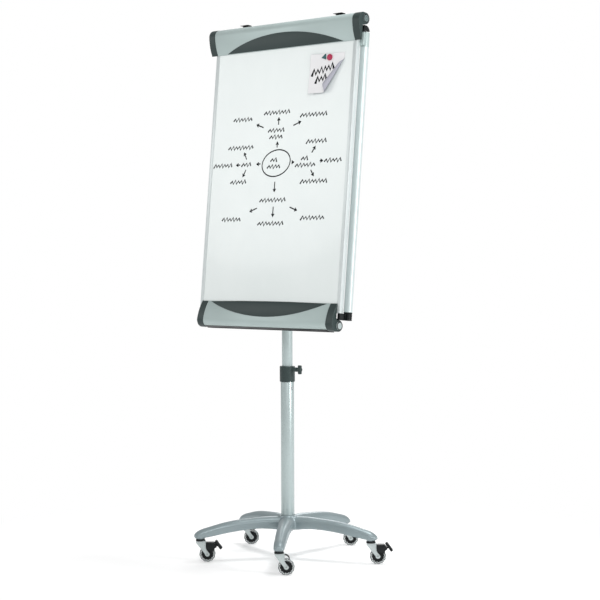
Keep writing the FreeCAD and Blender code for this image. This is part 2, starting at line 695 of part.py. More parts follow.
def arm_catches():
    """Wedges over the arms' tops, and clips below the board's corners, open outwards, that hold
    the arms in."""
    things = []
    face, back = "arm_front - 0.5", "arm_front + arm_depth"
    front = "panel + profile_wall"
    wedge = [(front, "arm_top - 2.5"), (face, "arm_top - 2.5"), (face, "arm_top + 3"),
             ("arm_front + 23", "arm_top + 3"), ("arm_front + 23.5", "arm_top + 5", "wedge_round"),
             ("arm_front - 4", "arm_top + 22"), (front, "arm_top + 22")]
    for _, side in SIDES:
        start = f"{side}*arm_x - 10"
        things.append(prism("YZ_Plane", wedge, 20, offset=start))
        inner, edge, web, lip = (f"{side}*({x})" for x in (
            "tray_half + tray_cap + 1", "board_width/2", "arm_x - arm_width/2 - 0.6",
            "arm_x + 2"))
        points = [(inner, 0), (edge, 0), (edge, "arm_front - 4"), (lip, "arm_front - 4"),
                  (lip, face), (web, face), (web, f"{back} + 0.5"), (lip, f"{back} + 0.5"),
                  (lip, f"{back} + 3.5"), (inner, f"{back} + 3.5")]
        things.append(prism("XY_Plane", points, "catch_height", offset="board_foot - catch_height"))
    node(group(things), "arm_catches", ON_BOARD)


# ---- casters ---------------------------------------------------------------------------------

def caster_place(k):
    angle = math.radians(value("leg_angle") + 72 * k)
    reach = value("caster_radius")
    return Placement(Vector(reach * math.cos(angle), reach * math.sin(angle), 0),
                     Rotation(Z_AXIS, value("trail_angle")))


def stem():
    """Pressed into the leg, with the ring that the fork turns under and the rivet below it."""
    return turned([(0, "fork_top - fork_plate - 3"), ("rivet_r", "fork_top - fork_plate - 3"),
                   ("rivet_r", "fork_top - fork_plate - 0.3"),
                   ("stem_r", "fork_top - fork_plate - 0.3"), ("stem_r", "ring_foot"),
                   ("ring_r", "ring_foot"), ("ring_r", "ring_top"), ("stem_r", "ring_top"),
                   ("stem_r", "stem_top"), (0, "stem_top")])


def fork(name, place):
    """Two cheeks under a top plate, with the axle riveted through them."""
    body = new_body()
    hub = "axle_hub_r"
    cheek = [("-fork_front", "fork_top - 6"), (f"trail - {hub}", "wheel_r", hub),
             ("trail", f"wheel_r - {hub}", hub), (f"trail + {hub}", "wheel_r"),
             ("fork_back + 4", "fork_top - 34"), ("fork_back", "fork_top - 26"),
             ("fork_back", "fork_top"), ("-fork_front", "fork_top")]
    pad(body, draw(body, "XZ_Plane", cheek), "fork_outer", symmetric=True)
    space = [(-40, 0), (80, 0), (80, "fork_top - fork_plate"), (-40, "fork_top - fork_plate")]
    pocket(body, draw(body, "XZ_Plane", space), "fork_inner", symmetric=True)
    pocket(body, draw(body, "XY_Plane", ("circle", 0, 0, "stem_r + fit")), "fork_top",
           reverse=True)
    pad(body, draw(body, "XZ_Plane", ("circle", "trail", "wheel_r", "axle_r")), "fork_outer + 3",
        symmetric=True)
    node(body, name, place)


def wheel(number, place):
    """A dished plastic centre in a clear soft tyre, drawn about its own axle."""
    half, rim = "wheel_width/2", "core_r - 3"
    core = turned([("axle_r + fit", f"-{half}"), ("hub_core_r", f"-{half}"),
                   ("hub_core_r", "-core_web/2"), (rim, "-core_web/2"), (rim, f"-{half} + 1"),
                   ("core_r", f"-{half} + 1"), ("core_r", f"{half} - 1"), (rim, f"{half} - 1"),
                   (rim, "core_web/2"), ("hub_core_r", "core_web/2"), ("hub_core_r", half),
                   ("axle_r + fit", half)])
    tread = turned([("core_r", f"-{half} + 1"), ("wheel_r - tread_round", f"-{half} + 1", "tread_round"),
                    ("wheel_r", f"-{half} + 1 + tread_round"),
                    ("wheel_r", f"{half} - 1 - tread_round", "tread_round"),
                    ("wheel_r - tread_round", f"{half} - 1"), ("core_r", f"{half} - 1")])
    axle = at("trail", 0, "wheel_r", X_AXIS, 90)
    node(core, f"wheel_core_{number}", place * axle)
    node(tread, f"wheel_tread_{number}", place * axle)


def brake(number, place):
    """A housing over the back of the wheel, and a pedal that rocks on a pin in it."""
    front, low, high = "fork_back + 0.8", "wheel_r + 9", "fork_top - 5"
    housing = new_body()
    outline = [(front, "fork_top - 25"), ("fork_back + 6", "fork_top - 33"), ("hood_end", low),
               ("hood_end + 4", "pedal_z - 6"),
               ("pedal_t + 3", "pedal_z - 3"), ("pedal_t + 3", "pedal_z + 4"),
               ("hood_end", high), (front, high)]
    pad(housing, draw(housing, "XZ_Plane", outline), "hood_width", symmetric=True)
    room_for_wheel = ("circle", "trail", "wheel_r", "wheel_r + hood_gap")
    pocket(housing, draw(housing, "XZ_Plane", room_for_wheel), "fork_inner", symmetric=True)
    room = [("pedal_t - 7", "pedal_z - 11"), ("pedal_t + 40", "pedal_z - 11"),
            ("pedal_t + 40", "pedal_z + 30"), ("pedal_t - 7", "pedal_z + 30")]
    pocket(housing, draw(housing, "XZ_Plane", room), "pedal_neck + 0.8", symmetric=True)
    pin = ("circle", "pedal_t", "pedal_z", "pedal_pin_r + fit")
    pocket(housing, draw(housing, "XZ_Plane", pin), "hood_width + 2", symmetric=True)
    node(housing, f"brake_housing_{number}", place)

    pedal = new_body()
    across = "pedal_width/2"
    plate = [("-pedal_head", f"-{across}"), ("pedal_tail", f"-{across}"),
             ("pedal_tail", across), ("-pedal_head", across)]
    tilted = at("pedal_t", 0, "pedal_z", Y_AXIS, value("pedal_slope"))
    pad(pedal, draw(pedal, "XY_Plane", plate, offset="pedal_off"), "pedal_thick")
    soften(pedal, 2.5, lambda edge: True)
    neck = [(-3, "pedal_off + 1"), (-3, "0"), (3, 0), (3, "pedal_off + 1")]
    pad(pedal, draw(pedal, "XZ_Plane", neck), "pedal_neck", symmetric=True)
    pad(pedal, draw(pedal, "XZ_Plane", ("circle", 0, 0, "pedal_pin_r")), "hood_width",
        symmetric=True)
    node(pedal, f"brake_pedal_{number}", place * tilted)


def casters():
    stems = []
    for k in range(5):
        number = k + 1
        place = caster_place(k)
        post = stem()
        post.Placement = place
        stems.append(post)
        fork(f"caster_fork_{number}", place)
        wheel(number, place)
        if k in (0, 3):
            brake(number, place)
    node(group(stems), "caster_stems")


# ---- the whole easel -------------------------------------------------------------------------

star_base()
foot_bolt()
lower_mast()
mast_collar()
guide_screw()
clamp_knob()
inner_mast()
tilt_head()
back_bracket()
tilt_fasteners()
board_panel()
side_profiles()
all_pins = []
for flap, half, length, head, ear, prefix in (
        (HEADER, "header_half", "header_cap", "header_pin_head", "header_ear", "header"),
        (TRAY, "tray_half", "tray_cap", "tray_pin_head", "tray_ear", "tray")):
    flap_cover(flap, half, f"{prefix}_cover")
    crescent(flap, f"{prefix}_crescent")
    end_caps(flap, half, length, prefix)
    all_pins += pins(flap, half, length, head, ear)
node(group(all_pins), "flap_pins", ON_BOARD)
rail(HEADER, "board_top", "header_ear", "top_rail")
rail(TRAY, "board_foot", "tray_ear", "bottom_rail")
tray_liner()
hooks()
display_arms()
arm_pivots()
arm_catches()
casters()

doc.recompute()
for thing in doc.Objects:
    if {"Invalid", "Error"} & set(thing.State):
        raise ValueError(f"{thing.Label} did not build: {thing.State}")
os.makedirs("parts", exist_ok=True)
for thing in nodes:
    if thing.Shape.isNull() or not thing.Shape.isValid():
        raise ValueError(f"{thing.Label} has no valid shape")
    thing.Shape.exportStep(f"parts/{thing.Label}.step")
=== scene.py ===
import json
import math

import bmesh
import bpy
from mathutils import Matrix, Vector


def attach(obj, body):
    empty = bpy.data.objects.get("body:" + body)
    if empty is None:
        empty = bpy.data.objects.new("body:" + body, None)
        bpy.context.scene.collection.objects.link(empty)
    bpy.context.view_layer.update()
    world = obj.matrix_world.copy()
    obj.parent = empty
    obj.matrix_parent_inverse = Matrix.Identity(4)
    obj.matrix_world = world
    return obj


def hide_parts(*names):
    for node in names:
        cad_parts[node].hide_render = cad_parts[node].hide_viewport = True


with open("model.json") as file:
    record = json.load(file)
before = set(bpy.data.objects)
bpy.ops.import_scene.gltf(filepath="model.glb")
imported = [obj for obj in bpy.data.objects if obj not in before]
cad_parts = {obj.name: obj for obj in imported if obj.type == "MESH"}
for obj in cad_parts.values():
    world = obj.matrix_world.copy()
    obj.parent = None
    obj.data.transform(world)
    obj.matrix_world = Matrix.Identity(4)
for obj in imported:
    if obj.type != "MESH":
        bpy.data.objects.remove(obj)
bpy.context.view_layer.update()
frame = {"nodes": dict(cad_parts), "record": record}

# The looks of a mobile flipchart easel: finishes for the CAD parts, and finer meshes for the
# castings, mouldings and wheels, and the writing on its board. Metres, in the frame of the CAD
# model: x to the right of someone who faces the board, y away from them, z up.

NODES = frame["nodes"]
SLOTS = {material["slot"] for material in frame["record"]["materials"]}
SLOT_OF = {part["node"]: part["material_slot"] for part in frame["record"]["subparts"]}
BODY_OF = {name: body for body, names in frame["record"]["behaviour"]["bodies"].items()
           for name in names}
JOINTS = {joint["name"]: joint for joint in frame["record"]["behaviour"]["joints"]}
MOUNTS = {mount["name"]: mount for mount in frame["record"]["mounts"]}


def board_plane():
    """From the writing face's plane (across, up, out of it) to the easel's frame, and how far up
    that plane the face begins and ends."""
    out = Vector(MOUNTS["left_peg"]["axis"]).normalized()
    up = out.cross((1, 0, 0))
    corners = [vert.co for vert in NODES["writing_face"].data.vertices]
    turn = Matrix(((1, 0, 0), up, out)).transposed().to_4x4()
    plane = Matrix.Translation(out * max(out.dot(corner) for corner in corners)) @ turn
    return plane, min(up.dot(c) for c in corners), max(up.dot(c) for c in corners)


BOARD, FACE_LOW, FACE_HIGH = board_plane()


# ---- materials -------------------------------------------------------------------------------

class Nodes:
    """A short way to write a material's node tree."""

    def __init__(self, name):
        self.material = bpy.data.materials.new(name)
        self.material.use_nodes = True
        self.tree = self.material.node_tree
        self.shader = self.tree.nodes["Principled BSDF"]
        self.place = self.add("ShaderNodeTexCoord").outputs["Object"]

    def add(self, kind, **settings):
        node = self.tree.nodes.new(kind)
        for name, value in settings.items():
            if hasattr(node, name):
                setattr(node, name, value)
            else:
                node.inputs[name].default_value = value
        return node

    def link(self, source, target):
        self.tree.links.new(source, target)

    def stretched(self, scale):
        mapping = self.add("ShaderNodeMapping")
        mapping.inputs["Scale"].default_value = scale
        self.link(self.place, mapping.inputs["Vector"])
        return mapping.outputs["Vector"]

    def noise(self, scale, detail=3.0, roughness=0.5, place=None):
        node = self.add("ShaderNodeTexNoise")
        node.inputs["Scale"].default_value = scale
        node.inputs["Detail"].default_value = detail
        node.inputs["Roughness"].default_value = roughness
        self.link(place or self.place, node.inputs["Vector"])
        return node.outputs["Fac"]

    def ramp(self, source, low, high, from_low=0.3, from_high=0.7):
        """Spread a noise between two numbers, or between two colours."""
        node = self.add("ShaderNodeValToRGB")
        first, last = node.color_ramp.elements
        first.position, last.position = from_low, from_high
        for element, value in ((first, low), (last, high)):
            element.color = (*value, 1) if isinstance(value, tuple) else (value, value, value, 1)
        self.link(source, node.inputs["Fac"])
        return node.outputs["Color"]

    def bump(self, source, height, strength=1.0):
        node = self.add("ShaderNodeBump")
        node.inputs["Strength"].default_value = strength
        node.inputs["Distance"].default_value = height
        self.link(source, node.inputs["Height"])
        self.link(node.outputs["Normal"], self.shader.inputs["Normal"])

    def set(self, **values):
        for name, value in values.items():
            socket = self.shader.inputs[name.replace("_", " ")]
            socket.default_value = (*value, 1) if isinstance(value, tuple) else value


def shade(colour, factor):
    """A colour made lighter or darker."""
    return tuple(min(c * factor, 1.0) for c in colour)


def painted(name, colour, roughness, metallic=0.0, grain=900, grain_height=0.00004,
            specular=0.5):
    """Powder coat, or moulded plastic with a fine grain: small changes of tone and gloss."""
    nodes = Nodes(name)
    tone = nodes.noise(6, 4)
    nodes.link(nodes.ramp(tone, shade(colour, 0.96), shade(colour, 1.04)),
               nodes.shader.inputs["Base Color"])
    gloss = nodes.noise(grain * 0.35, 2)
    nodes.link(nodes.ramp(gloss, roughness - 0.05, roughness + 0.05),
               nodes.shader.inputs["Roughness"])
    nodes.bump(nodes.noise(grain, 2), grain_height, 0.35)
    nodes.set(Metallic=metallic, Specular_IOR_Level=specular)
    return nodes.material


def brushed(name, colour, roughness, along=(400, 400, 6), height=0.00002, metallic=0.75):
    """Anodised or rolled metal, its fine lines running along one axis."""
    nodes = Nodes(name)
    lines = nodes.noise(1.0, 3, 0.6, nodes.stretched(along))
    nodes.link(nodes.ramp(lines, shade(colour, 0.92), shade(colour, 1.06)),
               nodes.shader.inputs["Base Color"])
    nodes.link(nodes.ramp(lines, roughness - 0.06, roughness + 0.08),
               nodes.shader.inputs["Roughness"])
    nodes.bump(lines, height, 0.3)
    nodes.set(Metallic=metallic)
    return nodes.material


def enamel(name):
    """The writing face: glossy white with a slight ripple and the faint haze of wiped ink."""
    nodes = Nodes(name)
    haze = nodes.noise(3.2, 5, 0.62, nodes.stretched((1.0, 1.0, 0.45)))
    nodes.link(nodes.ramp(haze, (0.78, 0.835, 0.825), (0.82, 0.87, 0.86), 0.35, 0.75),
               nodes.shader.inputs["Base Color"])
    nodes.link(nodes.ramp(nodes.noise(14, 3), 0.2, 0.27), nodes.shader.inputs["Roughness"])
    nodes.bump(nodes.noise(45, 1), 0.0002, 0.06)
    nodes.set(Coat_Weight=0.35, Coat_Roughness=0.08)
    return nodes.material


def chipboard(name):
    """The raw edge of a core of pressed flakes."""
    nodes = Nodes(name)
    flakes = nodes.noise(260, 4, 0.7)
    nodes.link(nodes.ramp(flakes, (0.28, 0.2, 0.12), (0.5, 0.4, 0.27)),
               nodes.shader.inputs["Base Color"])
    nodes.bump(flakes, 0.0003, 0.5)
    nodes.set(Roughness=0.85)
    return nodes.material


def tread(name):
    """Clear soft plastic, a little cloudy, scuffed where it rolls."""
    nodes = Nodes(name)
    cloud = nodes.noise(120, 3)
    nodes.link(nodes.ramp(cloud, (0.52, 0.56, 0.56), (0.66, 0.69, 0.69)),
               nodes.shader.inputs["Base Color"])
    nodes.link(nodes.ramp(nodes.noise(300, 3), 0.2, 0.42), nodes.shader.inputs["Roughness"])
    nodes.bump(nodes.noise(500, 2), 0.00005, 0.3)
    nodes.set(Coat_Weight=0.3, Coat_Roughness=0.2)
    return nodes.material


DARK = (0.028, 0.045, 0.044)
BLACK = (0.007, 0.009, 0.01)

FINISHES = {
    "base_paint": painted("silver_base", (0.25, 0.305, 0.32), 0.36, 0.35),
    "silver_tube": painted("silver_tube", (0.44, 0.515, 0.515), 0.32, 0.4),
    "silver_profile": brushed("silver_profile", (0.64, 0.69, 0.69), 0.34, metallic=0.3),
    "silver_plastic": painted("silver_plastic", (0.42, 0.505, 0.495), 0.4, 0.2),
    "dark_plastic": painted("dark_plastic", DARK, 0.4, grain=1500, grain_height=0.00006,
                            specular=0.35),
    "black_plastic": painted("black_plastic", BLACK, 0.35, grain=1400, grain_height=0.00006,
                             specular=0.22),
    "steel": brushed("zinc_steel", (0.5, 0.52, 0.53), 0.38),
    "bright_metal": brushed("bright_metal", (0.34, 0.37, 0.38), 0.25, (60, 60, 60)),
    "cast_grey": painted("cast_grey", (0.3, 0.33, 0.33), 0.55, 0.6, grain=500,
                         grain_height=0.0001),
    "white_enamel": enamel("white_enamel"),
    "core_board": chipboard("core_board"),
    "back_metal": brushed("back_metal", (0.42, 0.45, 0.45), 0.45, (6, 400, 400)),
    "disc_grey": painted("disc_grey", (0.42, 0.48, 0.48), 0.35, 0.2),
    "fork_metal": painted("fork_metal", (0.46, 0.51, 0.51), 0.32, 0.5),
    "clear_tread": tread("clear_tread"),
    "clamp_disc": painted("clamp_disc", (0.15, 0.2, 0.2), 0.35, 0.2),
    # the mast's silver made paler: painted light on the display arms
    "painted_light_tube": painted("painted_light_tube", (0.6, 0.68, 0.68), 0.36, 0.3),
}
# the display arms share the mast's slot, and are shown in a paler copy of its silver: painted light
# for the bright light that falls on them
PAINTED_LIGHT_ARMS = {"left_arm_tube": "painted_light_tube", "right_arm_tube": "painted_light_tube"}

# what the writing, the note and the magnets are made of, and the painted shade on the note's back
INK = painted("dry_marker_ink", (0.004, 0.005, 0.007), 0.6, grain=600, grain_height=0.00002,
              specular=0.1)
PAPER = painted("note_paper", (0.86, 0.86, 0.87), 0.75, grain=700, grain_height=0.00005)
# the note's back is a darker, bluer copy of its paper: painted shade on the rolled corner's
# underside
PAPER_BACK_SHADE = painted("note_back_shade", (0.4, 0.4, 0.46), 0.6, grain=700, grain_height=0.00005)
RED = painted("red_magnet", (0.42, 0.008, 0.06), 0.3, grain=900, grain_height=0.00002)
TEAL = painted("teal_magnet", (0.0, 0.085, 0.09), 0.3, grain=900, grain_height=0.00002)


def finish_of(node):
    """The material that a CAD part, and any piece that stands for it, is shown in."""
    return FINISHES[PAINTED_LIGHT_ARMS.get(node, SLOT_OF[node])]


def finish_cad_parts():
    """Dress the CAD parts, those that no piece replaces among them."""
    for name, thing in NODES.items():
        for slot in thing.material_slots:
            slot.material = finish_of(name)


# ---- pieces ----------------------------------------------------------------------------------

FLAT_ANGLE = math.radians(1)      # faces that differ by less are one flat face
SHARP_ANGLE = math.radians(32)    # edges that turn by more are rounded off, not shaded smooth
SHORTEST_EDGE = 1e-6              # corners closer than this are one corner


def linked(name, data):
    """A new object in the scene."""
    thing = bpy.data.objects.new(name, data)
    bpy.context.scene.collection.objects.link(thing)
    return thing


def new_piece(name, mesh, node):
    """A mesh that stands for a CAD node, and takes its body and its finish from it."""
    thing = linked(name, mesh)
    mesh.materials.append(finish_of(node))
    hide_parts(node)
    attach(thing, BODY_OF[node])


def add_piece(name, mesh, body, slot, *materials):
    """A mesh that stands for no CAD node. One that has its materials already is given none."""
    thing = linked(name, mesh)
    for material in materials:
        mesh.materials.append(material)
    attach(thing, body)


def mesh_from(work, name):
    """Turn a finished bmesh into a mesh."""
    mesh = bpy.data.meshes.new(name)
    work.to_mesh(mesh)
    work.free()
    return mesh


def baked(thing):
    """The mesh that an object's modifiers, or a curve's settings, make. The object is dropped."""
    graph = bpy.context.evaluated_depsgraph_get()
    mesh = bpy.data.meshes.new_from_object(thing.evaluated_get(graph))
    bpy.data.objects.remove(thing)
    return mesh


def skin(work, here, there):
    """Smooth faces from each point of a closed row to the next, and across to another row."""
    for k in range(len(here)):
        nxt = (k + 1) % len(here)
        work.faces.new((here[k], here[nxt], there[nxt], there[k])).smooth = True


def welded_copy(node):
    """A node's mesh with its split corners joined up."""
    mesh = NODES[node].data.copy()
    work = bmesh.new()
    work.from_mesh(mesh)
    bmesh.ops.remove_doubles(work, verts=work.verts, dist=SHORTEST_EDGE)
    work.to_mesh(mesh)
    work.free()
    mesh.materials.clear()
    return mesh


def softened(node, voxel, rounds):
    """A moulding or casting made from a CAD node: its edges and inner corners blended."""
    thing = linked("softening", welded_copy(node))
    remesh = thing.modifiers.new("remesh", "REMESH")
    remesh.mode, remesh.voxel_size, remesh.use_smooth_shade = "VOXEL", voxel, True
    smooth = thing.modifiers.new("smooth", "SMOOTH")
    smooth.iterations, smooth.factor = rounds, 0.5
    return baked(thing)


def eased(node, width):
    """A CAD node's mesh with its sharp edges rounded off."""
    mesh = welded_copy(node)
    work = bmesh.new()
    work.from_mesh(mesh)
    bmesh.ops.dissolve_limit(work, angle_limit=FLAT_ANGLE, verts=work.verts, edges=work.edges)
    sharp = [edge for edge in work.edges
             if edge.is_manifold and edge.calc_face_angle(0) > SHARP_ANGLE]
    bmesh.ops.bevel(work, geom=sharp, offset=width, segments=2, profile=0.5,
                    affect="EDGES", clamp_overlap=True)
    bmesh.ops.triangulate(work, faces=[f for f in work.faces if len(f.verts) > 4])
    for face in work.faces:
        face.smooth = True
    work.to_mesh(mesh)
    work.free()
    mesh.set_sharp_from_angle(angle=SHARP_ANGLE)
    return mesh


def turned(profile, centre, axis, steps):
    """A closed ring or disc: (radius, distance along the axis) points turned about an axis."""
    work = bmesh.new()
    frame_of = Vector(axis).to_track_quat("Z", "Y").to_matrix()
    rows = []
    for step in range(steps):
        angle = 2 * math.pi * step / steps
        rows.append([work.verts.new(Vector(centre) + frame_of @ Vector(
            (r * math.cos(angle), r * math.sin(angle), along))) for r, along in profile])
    for step in range(steps):
        skin(work, rows[step], rows[(step + 1) % steps])
    bmesh.ops.remove_doubles(work, verts=work.verts, dist=SHORTEST_EDGE / 10)
    bmesh.ops.recalc_face_normals(work, faces=work.faces)
    mesh = mesh_from(work, "turned")
    mesh.set_sharp_from_angle(angle=SHARP_ANGLE)
    return mesh


# how far each moulding or pressing is rounded at its edges, in metres
EASED = {
    "header_cover": 0.0006, "tray_cover": 0.0006, "header_crescent": 0.0003,
    "tray_crescent": 0.0003, "tray_liner": 0.0005,
    "arm_catches": 0.0012, "arm_pivots": 0.001, "left_arm_end": 0.0005, "right_arm_end": 0.0005,
    "left_arm_fitting": 0.0006, "right_arm_fitting": 0.0006, "flap_pins": 0.0008,
    "left_profile": 0.0004, "right_profile": 0.0004, "top_rail": 0.0008, "bottom_rail": 0.0008,
    "back_bracket": 0.0006, "tilt_bolt": 0.0008, "tilt_knob": 0.0015, "tilt_head": 0.0008,
    "mast_collar": 0.0008, "caster_stems": 0.0008, "upper_mast": 0.0004, "lower_mast": 0.0004,
}
EASED.update({f"caster_fork_{n}": 0.0012 for n in range(1, 6)})
EASED.update({f"brake_housing_{n}": 0.0012 for n in (1, 4)})
EASED.update({f"brake_pedal_{n}": 0.0006 for n in (1, 4)})


def ease_edges():
    """Round off the sharp edges of the turned, bent and moulded parts."""
    for node, width in EASED.items():
        new_piece(f"{node}_eased", eased(node, width), node)


HOOK_EDGE = 0.0006
TAB_THICK, TAB_LONG = 0.0024, 0.021
TAB_SUNK, TAB_TAPER = 0.35, 0.4   # parts of the thickness that its top sinks, and more in front


def thin_tabs():
    """The hooks, their tabs thinned towards the front edge."""
    up = BOARD.to_3x3() @ Vector((0, 1, 0))
    for side in ("left", "right"):
        node = f"{side}_hook"
        mesh = eased(node, HOOK_EDGE)
        top = max(vert.co.dot(up) for vert in mesh.vertices)
        back = max(vert.co.y for vert in mesh.vertices)
        for vert in mesh.vertices:
            if top - vert.co.dot(up) < TAB_THICK / 2:
                forward = min((back - vert.co.y) / TAB_LONG, 1)
                vert.co -= up * TAB_THICK * (TAB_SUNK + TAB_TAPER * forward)
        new_piece(f"{node}_thinned", mesh, node)


def soften_mouldings():
    """Blend the corners of the cast base, the flaps' end caps and the wing knob."""
    new_piece("base_casting", softened("star_base", 0.003, 6), "star_base")
    for side in ("left", "right"):
        for flap in ("header", "tray"):
            node = f"{side}_{flap}_cap"
            new_piece(f"{node}_moulding", softened(node, 0.0013, 7), node)
    new_piece("clamp_wing", softened("clamp_knob", 0.0009, 6), "clamp_knob")


# ---- rings on the clamp's and the tray's pins ---------------------------------------------------

HEAD_REACH = 0.02    # further than a head's edge is from its axis, and short of the next pin
RING_SUNK = 0.0006   # how far a ring goes into the face that it stands on


def pin_face(joint, side):
    """The middle of a pin's head, from the pins' mesh about a flap's hinge."""
    axis = Vector(JOINTS[joint]["pos_m"])
    near = [vert.co.x * side for vert in NODES["flap_pins"].data.vertices
            if math.hypot(vert.co.y - axis.y, vert.co.z - axis.z) < HEAD_REACH
            and vert.co.x * side > 0]
    return Vector((side * max(near), axis.y, axis.z))


def band(inner, outer, rise):
    """The section of a flat ring with rounded shoulders."""
    edge = min(rise, (outer - inner) / 3)
    return [(inner, -RING_SUNK), (inner, rise - edge / 2), (inner + edge, rise),
            (outer - edge, rise), (outer, rise - edge / 2), (outer, -RING_SUNK)]


# joint, and for each ring on its pins' heads the name, inner and outer radius, rise and finish
PIN_RINGS = (
    ("header_open", (("rim", 0.0122, 0.0154, 0.0004, "black_plastic"),
                     ("face", 0, 0.0122, 0.0001, "clamp_disc"),
                     ("eye", 0.0052, 0.0066, 0.0004, "dark_plastic"))),
    ("tray_open", (("rim", 0.0122, 0.0154, 0.0009, "black_plastic"),
                   ("eye", 0.0046, 0.0054, 0.0003, "silver_plastic"))),
)


def pin_rings():
    """Rings and discs on the heads of the pins that the clamp and the tray turn on."""
    for joint, rings in PIN_RINGS:
        for name, side in (("left", -1), ("right", 1)):
            place = pin_face(joint, side)
            for part, inner, outer, rise, finish in rings:
                mesh = turned(band(inner, outer, rise), place, (side, 0, 0), 64)
                slot = finish if finish in SLOTS else "dark_plastic"
                flap = joint.removesuffix("_open")
                add_piece(f"{name}_{flap}_pin_{part}", mesh, "board", slot, FINISHES[finish])


# ---- wheels -------------------------------------------------------------------------------------

WHEEL_RIM, HUB_RIM, HALF_CORE, HALF_TREAD = 0.030, 0.0215, 0.0072, 0.008
TREAD_ROUND = 0.0035
WINDOWS, WINDOW_RING, WINDOW_SUNK = 12, 0.0252, 0.0002
WINDOW_REACH, WINDOW_LINE = (0.0032, 0.0048), 0.0012   # half sizes, and the line's radius
AXLE_HALF, AXLE_ROUND, AXLE_RISE = 0.014, 0.0033, 0.0003


def wheel_core_outline():
    """A core's section: hub, thin web, and a thicker ring under the tread."""
    half = [(0.0041, 0.009), (0.0085, 0.009), (0.0092, 0.0064), (0.0165, 0.0056),
            (0.0178, HALF_CORE), (HUB_RIM - 0.0006, HALF_CORE), (HUB_RIM, HALF_CORE - 0.0008)]
    return [(r, -along) for r, along in half] + half[::-1]


def tread_outline():
    """A clear tyre's section, its corners rounded."""
    half = [(HUB_RIM, HALF_TREAD - 0.0006), (HUB_RIM + 0.0008, HALF_TREAD)]
    for k in range(5):
        angle = math.radians(90 - 22.5 * k)
        half.append((WHEEL_RIM - TREAD_ROUND + TREAD_ROUND * math.cos(angle),
                     HALF_TREAD - TREAD_ROUND + TREAD_ROUND * math.sin(angle)))
    return [(r, -along) for r, along in half] + half[::-1]


def oval_ring(work, middle, long_way, short_way, out, lengths, thick):
    """A dark oval outline: a thin ring of round section, squeezed along one way."""
    rows, steps, around = [], 20, 6
    for step in range(steps):
        angle = 2 * math.pi * step / steps
        way = long_way * math.cos(angle) * lengths[0] + short_way * math.sin(angle) * lengths[1]
        outward = way.normalized()
        rows.append([work.verts.new(middle + way + thick * (
            outward * math.cos(2 * math.pi * k / around)
            + out * math.sin(2 * math.pi * k / around))) for k in range(around)])
    for step in range(steps):
        skin(work, rows[step], rows[(step + 1) % steps])


def tread_windows(centre, axis):
    """The dark oval outlines round both faces of a tyre."""
    first = axis.orthogonal().normalized()
    second = axis.cross(first)
    work = bmesh.new()
    for k in range(WINDOWS):
        angle = 2 * math.pi * k / WINDOWS
        out = first * math.cos(angle) + second * math.sin(angle)
        for face in (-1, 1):
            middle = centre + out * WINDOW_RING + axis * face * (HALF_TREAD - WINDOW_SUNK)
            oval_ring(work, middle, out, axis.cross(out), axis * face, WINDOW_REACH, WINDOW_LINE)
    bmesh.ops.recalc_face_normals(work, faces=work.faces)
    return mesh_from(work, "windows")


def finish_wheels():
    """Black centres, clear tyres with a ring of dark oval outlines moulded in, and axle ends."""
    for n in range(1, 6):
        joint = JOINTS[f"roll_{n}"]
        centre, axis = Vector(joint["pos_m"]), Vector(joint["axis"]).normalized()
        new_piece(f"wheel_centre_{n}", turned(wheel_core_outline(), centre, axis, 72),
                  f"wheel_core_{n}")
        new_piece(f"wheel_tyre_{n}", turned(tread_outline(), centre, axis, 72),
                  f"wheel_tread_{n}")
        add_piece(f"wheel_windows_{n}", tread_windows(centre, axis), f"wheel_{n}",
                  "black_plastic", FINISHES["black_plastic"])
        for face, name in ((-1, "left"), (1, "right")):
            end = centre + axis * face * AXLE_HALF
            add_piece(f"{name}_axle_end_{n}",
                      turned(band(0, AXLE_ROUND, AXLE_RISE), end, axis * face, 32),
                      f"fork_{n}", "dark_plastic", FINISHES["cast_grey"])


# dark strips over the back of the wheels: painted shade in the gap under the fork
SHADE_STRIP_RADIUS, SHADE_STRIP_HALF_WIDTH, SHADE_STRIP_HALF_THICK = 0.0165, 0.0100, 0.0014
SHADE_STRIP_ABOVE, SHADE_STRIP_BEHIND = 0.0275, 0.0205   # its centre, from the axle's height and the swivel
SHADE_STRIP_FROM, SHADE_STRIP_STEP, SHADE_STRIP_ROWS = 92, 7.2, 13   # degrees: its top, and each row's step


def add_fork_shade_strips():
    """Curved dark strips behind the forks that have no brake, over the back of the wheel: painted
    shade for the dark gap between the fork and the wheel.
    """
    for n in (2, 3, 5):
        hub = Vector(JOINTS[f"roll_{n}"]["pos_m"])
        axle = Vector(JOINTS[f"roll_{n}"]["axis"]).normalized()
        swivel = Vector(JOINTS[f"swivel_{n}"]["pos_m"])
        back = (Vector((hub.x, hub.y, 0)) - Vector((swivel.x, swivel.y, 0))).normalized()
        middle = Vector((swivel.x, swivel.y, hub.z + SHADE_STRIP_ABOVE)) + back * SHADE_STRIP_BEHIND
        work = bmesh.new()
        rows = []
        for k in range(SHADE_STRIP_ROWS):
            angle = math.radians(SHADE_STRIP_FROM - SHADE_STRIP_STEP * k)
            out = back * math.cos(angle) + Vector((0, 0, 1)) * math.sin(angle)
            rows.append([work.verts.new(middle + out * (SHADE_STRIP_RADIUS + rise * SHADE_STRIP_HALF_THICK)
                                        + axle * across * SHADE_STRIP_HALF_WIDTH)
                         for rise, across in ((-1, -1), (1, -1), (1, 1), (-1, 1))])
        work.faces.new(rows[0])
        work.faces.new(rows[-1][::-1])
        for here, there in zip(rows, rows[1:]):
            skin(work, here, there)
        bmesh.ops.recalc_face_normals(work, faces=work.faces)
        mesh = mesh_from(work, "fork_shade_strip")
        mesh.set_sharp_from_angle(angle=SHARP_ANGLE)
        add_piece(f"painted_fork_shade_{n}", mesh, f"fork_{n}", "black_plastic",
                  FINISHES["black_plastic"])


# ---- the writing face: ink, a note and two magnets ------------------------------------------------

